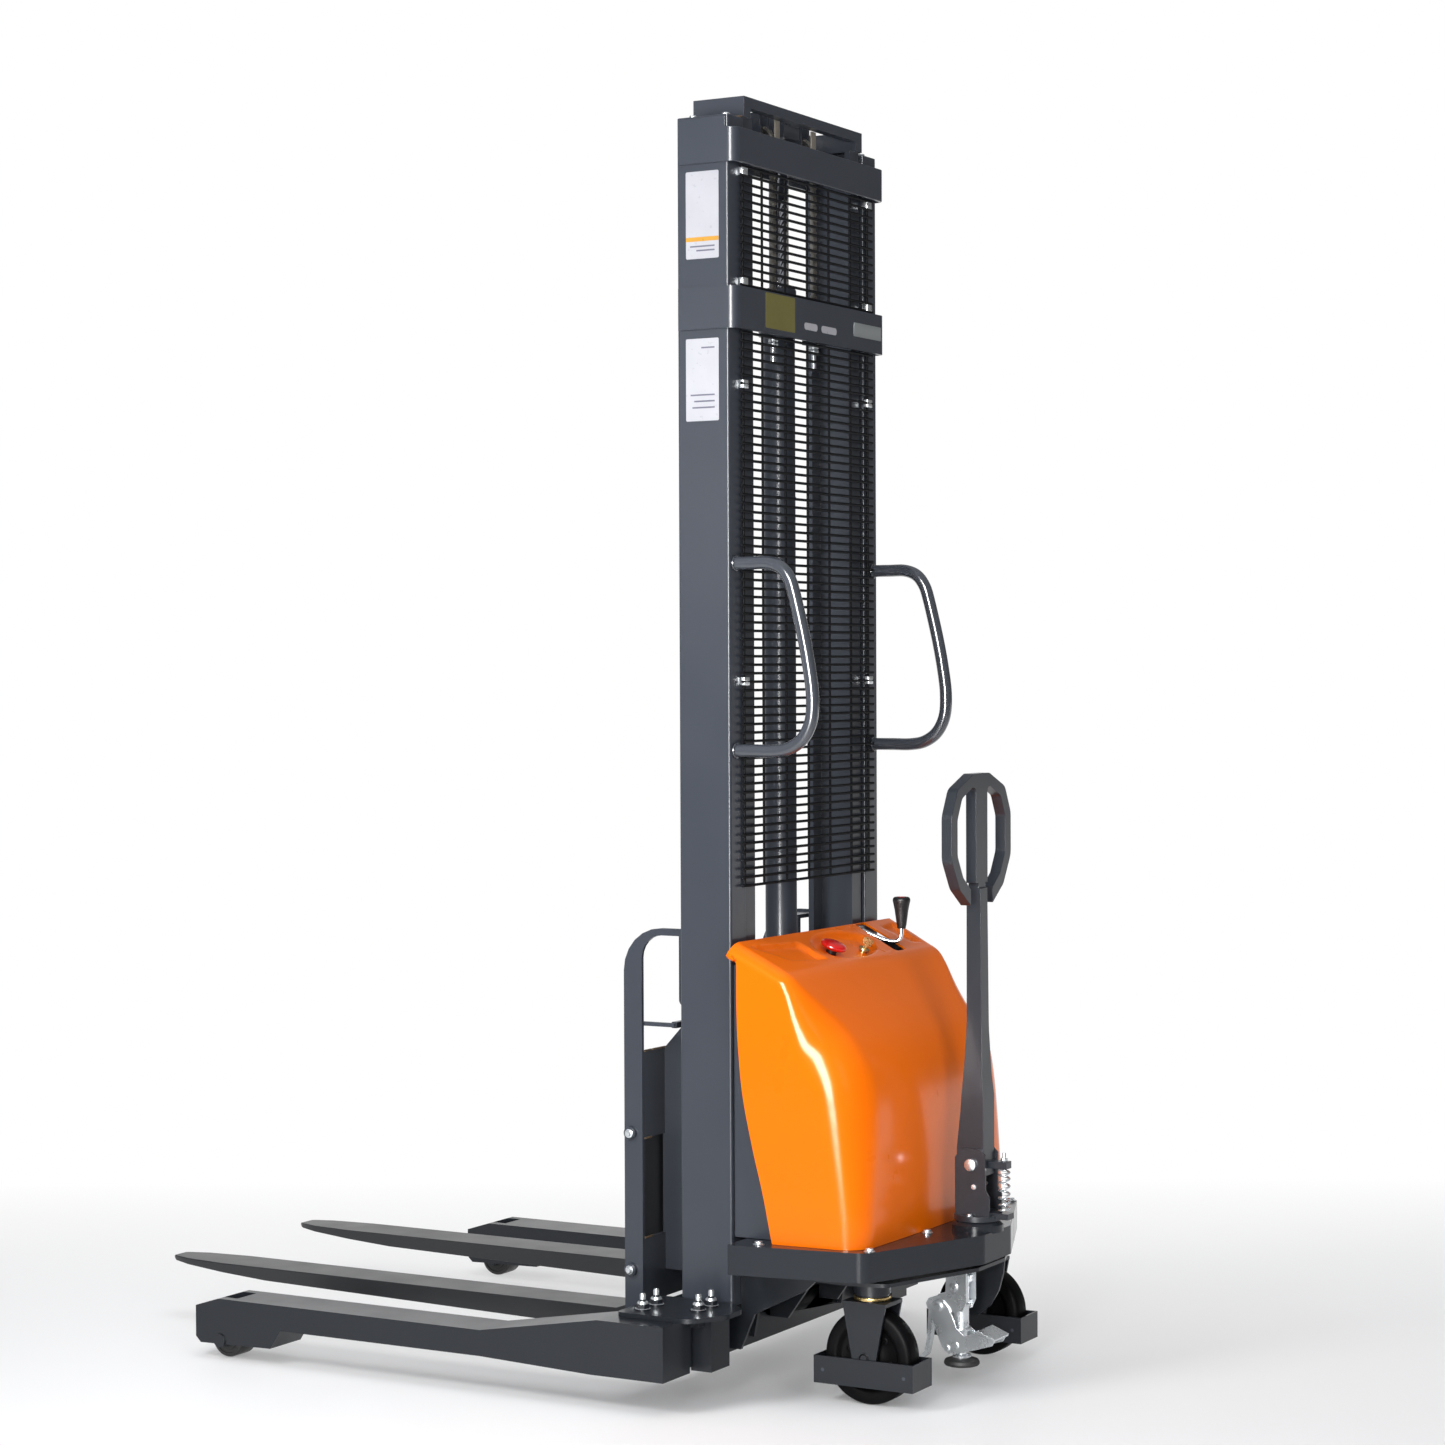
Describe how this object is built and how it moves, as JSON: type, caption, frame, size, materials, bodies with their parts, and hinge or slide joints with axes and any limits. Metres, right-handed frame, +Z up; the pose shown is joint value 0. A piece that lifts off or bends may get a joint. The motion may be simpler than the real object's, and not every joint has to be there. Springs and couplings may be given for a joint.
{
  "type": "walkie stacker",
  "caption": "Pedestrian straddle stacker with a telescopic two-stage mast, adjustable forks, orange power unit hood, grey frame and a steering tiller with a loop handle.",
  "frame": {"origin": "on the floor, at the middle of the bounding box's footprint", "axes": "+X forwards to the fork tips, +Y to the operator's left when facing the forks, +Z up"},
  "size_m": [1.862, 1.081, 2.48],
  "materials": {
    "painted_steel": "semi-gloss dark grey paint",
    "orange_hood": "glossy orange",
    "black_rubber": "matt black",
    "black_plastic": "matt",
    "zinc_plate": "bright zinc plate",
    "chrome": "hard chrome",
    "chain_steel": "oiled steel",
    "red_button": "glossy red",
    "dark_polyurethane": "satin",
    "key_brass": "nickel and brass",
    "black_wire": "black coated wire"
  },
  "bodies": {
    "chassis": {"base_frame": "painted_steel", "outer_mast_left": "painted_steel", "outer_mast_right": "painted_steel", "upper_brace": "painted_steel", "middle_brace": "painted_steel", "straddle_leg_left": "painted_steel", "straddle_leg_right": "painted_steel", "leg_clamp_left": "painted_steel", "leg_clamp_right": "painted_steel", "platform_deck": "painted_steel", "hood_cover": "orange_hood", "chassis_shroud": "painted_steel", "grab_handle_left": "painted_steel", "grab_handle_right": "painted_steel", "mesh_guard_upper": "black_wire", "mesh_guard_lower": "black_wire", "lift_cylinder": "painted_steel", "lift_chain_rear_left": "chain_steel", "lift_chain_rear_right": "chain_steel", "battery": "black_plastic", "pump_motor": "black_plastic", "oil_tank": "painted_steel", "hydraulic_hose": "black_rubber", "brake_bracket": "zinc_plate"},
    "mast_stage": {"inner_mast": "painted_steel", "piston_rod": "chrome", "lift_chain_front_left": "chain_steel", "lift_chain_front_right": "chain_steel"},
    "carriage": {"fork_carriage": "painted_steel", "fork_bar_lower": "zinc_plate", "fork_bar_upper": "zinc_plate"},
    "steering_head": {"tiller_yoke": "painted_steel", "tiller_pin": "zinc_plate", "tiller_spring": "zinc_plate"},
    "tiller": {"tiller_arm": "painted_steel"},
    "brake_pedal": {"brake_pedal": "zinc_plate"},
    "brake_ram": {"brake_ram": "zinc_plate"},
    "brake_release": {"brake_release": "zinc_plate"},
    "estop_button": {"estop_button": "red_button"},
    "key_switch": {"key_switch": "key_brass"},
    "lift_lever": {"lift_lever": "chrome", "lift_lever_knob": "black_plastic"},
    "fork_left": {"fork_left": "painted_steel"},
    "mast_roller_left": {"mast_roller_left": "chain_steel"},
    "carriage_roller_lower_left": {"carriage_roller_lower_left": "chain_steel"},
    "carriage_roller_upper_left": {"carriage_roller_upper_left": "chain_steel"},
    "chain_sheave_left": {"chain_sheave_left": "chain_steel"},
    "caster_fork_left": {"caster_fork_left": "painted_steel"},
    "caster_wheel_left": {"caster_wheel_left": "black_rubber"},
    "load_wheel_left": {"load_wheel_left": "dark_polyurethane"},
    "tie_rod_left": {"tie_rod_left": "zinc_plate"},
    "fork_right": {"fork_right": "painted_steel"},
    "mast_roller_right": {"mast_roller_right": "chain_steel"},
    "carriage_roller_lower_right": {"carriage_roller_lower_right": "chain_steel"},
    "carriage_roller_upper_right": {"carriage_roller_upper_right": "chain_steel"},
    "chain_sheave_right": {"chain_sheave_right": "chain_steel"},
    "caster_fork_right": {"caster_fork_right": "painted_steel"},
    "caster_wheel_right": {"caster_wheel_right": "black_rubber"},
    "load_wheel_right": {"load_wheel_right": "dark_polyurethane"},
    "tie_rod_right": {"tie_rod_right": "zinc_plate"}
  },
  "joints": [
    {"name": "mast_lift", "type": "slide", "parent": "chassis", "child": "mast_stage", "axis": [0, 0, 1], "range_m": [0, 1.6], "deforming": ["lift_chain_rear_left", "lift_chain_rear_right"]},
    {"name": "carriage_lift", "type": "slide", "parent": "mast_stage", "child": "carriage", "axis": [0, 0, 1], "range_m": [0, 1.6], "deforming": ["lift_chain_front_left", "lift_chain_front_right"]},
    {"name": "fork_spread_left", "type": "slide", "parent": "carriage", "child": "fork_left", "axis": [0, -1, 0], "range_m": [0, 0.11]},
    {"name": "mast_roller_left_spin", "type": "hinge", "parent": "mast_stage", "child": "mast_roller_left", "pos_m": [-0.4345, 0.28, 0.245], "axis": [0, 1, 0], "continuous": true},
    {"name": "carriage_roller_lower_left_spin", "type": "hinge", "parent": "carriage", "child": "carriage_roller_lower_left", "pos_m": [-0.4345, 0.222, 0.265], "axis": [0, 1, 0], "continuous": true},
    {"name": "carriage_roller_upper_left_spin", "type": "hinge", "parent": "carriage", "child": "carriage_roller_upper_left", "pos_m": [-0.4345, 0.222, 0.6], "axis": [0, 1, 0], "continuous": true},
    {"name": "chain_sheave_left_spin", "type": "hinge", "parent": "mast_stage", "child": "chain_sheave_left", "pos_m": [-0.431, 0.085, 2.415], "axis": [0, 1, 0], "continuous": true},
    {"name": "fork_spread_right", "type": "slide", "parent": "carriage", "child": "fork_right", "axis": [0, 1, 0], "range_m": [0, 0.11]},
    {"name": "mast_roller_right_spin", "type": "hinge", "parent": "mast_stage", "child": "mast_roller_right", "pos_m": [-0.4345, -0.28, 0.245], "axis": [0, 1, 0], "continuous": true},
    {"name": "carriage_roller_lower_right_spin", "type": "hinge", "parent": "carriage", "child": "carriage_roller_lower_right", "pos_m": [-0.4345, -0.222, 0.265], "axis": [0, 1, 0], "continuous": true},
    {"name": "carriage_roller_upper_right_spin", "type": "hinge", "parent": "carriage", "child": "carriage_roller_upper_right", "pos_m": [-0.4345, -0.222, 0.6], "axis": [0, 1, 0], "continuous": true},
    {"name": "chain_sheave_right_spin", "type": "hinge", "parent": "mast_stage", "child": "chain_sheave_right", "pos_m": [-0.431, -0.085, 2.415], "axis": [0, 1, 0], "continuous": true},
    {"name": "tiller_steer", "type": "hinge", "parent": "chassis", "child": "steering_head", "pos_m": [-0.861, 0, 0.3105], "axis": [0, 0, 1], "range_deg": [-60, 60]},
    {"name": "tiller_tilt", "type": "hinge", "parent": "steering_head", "child": "tiller", "pos_m": [-0.861, 0, 0.4275], "axis": [0, -1, 0], "range_deg": [0, 80], "stiffness_Nm_per_rad": 26, "springref_deg": -22.92, "deforming": ["tiller_spring"]},
    {"name": "caster_steer_left", "type": "hinge", "parent": "chassis", "child": "caster_fork_left", "pos_m": [-0.756, 0.245, 0.2], "axis": [0, 0, 1], "range_deg": [-60, 60]},
    {"name": "tie_rod_turn_left", "type": "hinge", "parent": "steering_head", "child": "tie_rod_left", "pos_m": [-0.791, 0.017, 0.2515], "axis": [0, 0, 1], "range_deg": [-60, 60]},
    {"name": "caster_wheel_left_spin", "type": "hinge", "parent": "caster_fork_left", "child": "caster_wheel_left", "pos_m": [-0.756, 0.245, 0.09], "axis": [0, 1, 0], "continuous": true},
    {"name": "load_wheel_left_spin", "type": "hinge", "parent": "chassis", "child": "load_wheel_left", "pos_m": [0.565, 0.4875, 0.038], "axis": [0, 1, 0], "continuous": true},
    {"name": "caster_steer_right", "type": "hinge", "parent": "chassis", "child": "caster_fork_right", "pos_m": [-0.756, -0.245, 0.2], "axis": [0, 0, 1], "range_deg": [-60, 60]},
    {"name": "tie_rod_turn_right", "type": "hinge", "parent": "steering_head", "child": "tie_rod_right", "pos_m": [-0.791, -0.017, 0.2515], "axis": [0, 0, 1], "range_deg": [-60, 60]},
    {"name": "caster_wheel_right_spin", "type": "hinge", "parent": "caster_fork_right", "child": "caster_wheel_right", "pos_m": [-0.756, -0.245, 0.09], "axis": [0, 1, 0], "continuous": true},
    {"name": "load_wheel_right_spin", "type": "hinge", "parent": "chassis", "child": "load_wheel_right", "pos_m": [0.565, -0.4875, 0.038], "axis": [0, 1, 0], "continuous": true},
    {"name": "brake_pedal_press", "type": "hinge", "parent": "chassis", "child": "brake_pedal", "pos_m": [-0.79, 0, 0.146], "axis": [0, -1, 0], "range_deg": [0, 22], "stiffness_Nm_per_rad": 8, "springref_deg": -22.92},
    {"name": "brake_ram_drop", "type": "slide", "parent": "chassis", "child": "brake_ram", "axis": [0, 0, -1], "range_m": [0, 0.031]},
    {"name": "brake_release_kick", "type": "hinge", "parent": "chassis", "child": "brake_release", "pos_m": [-0.77, 0, 0.147], "axis": [0, -1, 0], "range_deg": [0, 15], "stiffness_Nm_per_rad": 1.5, "springref_deg": -11.46},
    {"name": "estop_press", "type": "slide", "parent": "chassis", "child": "estop_button", "axis": [0.471, 0, -0.8821], "range_m": [0, 0.005], "stiffness_N_per_m": 800, "springref_m": -0.003},
    {"name": "key_turn", "type": "hinge", "parent": "chassis", "child": "key_switch", "pos_m": [-0.576, -0.078, 0.821], "axis": [-0.471, 0, 0.8821], "range_deg": [0, 90]},
    {"name": "lift_lever_swing", "type": "hinge", "parent": "chassis", "child": "lift_lever", "pos_m": [-0.521, -0.168, 0.857], "axis": [0, 1, 0], "range_deg": [-8, 8], "stiffness_Nm_per_rad": 30}
  ],
  "couplings": [
    {"joint": "carriage_lift", "follows": "mast_lift", "ratio": 1},
    {"joint": "mast_roller_left_spin", "follows": "mast_lift", "rad_per_m": -22.99},
    {"joint": "carriage_roller_lower_left_spin", "follows": "mast_lift", "rad_per_m": -26.67},
    {"joint": "carriage_roller_upper_left_spin", "follows": "mast_lift", "rad_per_m": 26.67},
    {"joint": "chain_sheave_left_spin", "follows": "mast_lift", "rad_per_m": -30.49},
    {"joint": "mast_roller_right_spin", "follows": "mast_lift", "rad_per_m": -22.99},
    {"joint": "carriage_roller_lower_right_spin", "follows": "mast_lift", "rad_per_m": -26.67},
    {"joint": "carriage_roller_upper_right_spin", "follows": "mast_lift", "rad_per_m": 26.67},
    {"joint": "chain_sheave_right_spin", "follows": "mast_lift", "rad_per_m": -30.49},
    {"joint": "caster_steer_left", "follows": "tiller_steer", "ratio": 1},
    {"joint": "tie_rod_turn_left", "follows": "tiller_steer", "ratio": -1},
    {"joint": "caster_steer_right", "follows": "tiller_steer", "ratio": 1},
    {"joint": "tie_rod_turn_right", "follows": "tiller_steer", "ratio": -1},
    {"joint": "brake_ram_drop", "follows": "brake_pedal_press", "m_per_rad": 0.0807}
  ]
}
